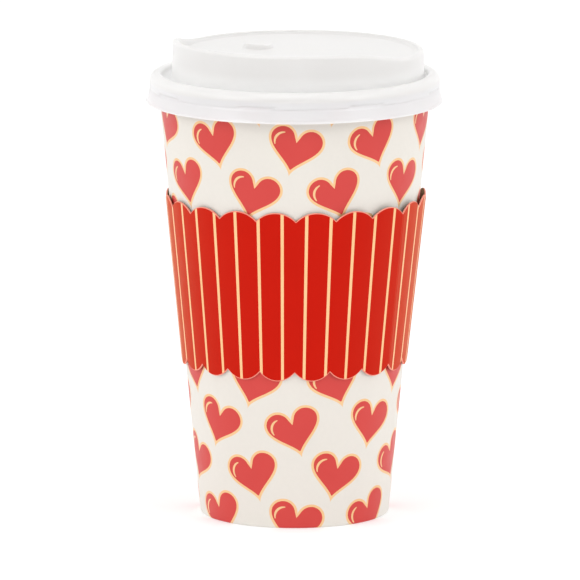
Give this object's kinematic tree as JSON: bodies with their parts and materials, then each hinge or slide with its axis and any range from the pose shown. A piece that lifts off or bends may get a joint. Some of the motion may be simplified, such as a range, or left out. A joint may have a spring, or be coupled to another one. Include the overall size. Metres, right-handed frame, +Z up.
{
  "type": "paper coffee cup",
  "caption": "Tall tapered paper cup for hot drinks with a printed wall, a rolled rim, a push-on dome lid with a sip opening and a scalloped paperboard hand sleeve.",
  "frame": {"origin": "centre of the foot, on the table", "axes": "+Z up along the cup's axis, -Y towards the front that the picture shows, +X to that view's right"},
  "size_m": [0.0935, 0.093, 0.151],
  "materials": {
    "cup_paper": "coated paper with a satin printed face",
    "base_paper": "coated uncoloured paper",
    "lid_plastic": "thin formed white plastic, soft gloss",
    "sleeve_board": "coated red paperboard with gold stripes"
  },
  "bodies": {
    "cup": {"cup_wall": "cup_paper", "cup_base": "base_paper"},
    "lid": {"lid": "lid_plastic"},
    "sleeve": {"sleeve": "sleeve_board"}
  },
  "joints": [
    {"name": "lid_lift", "type": "slide", "parent": "cup", "child": "lid", "axis": [0, 0, 1], "range_m": [0, 0.04]},
    {"name": "sleeve_slide", "type": "slide", "parent": "cup", "child": "sleeve", "axis": [0, 0, -1], "range_m": [0, 0.047]}
  ]
}
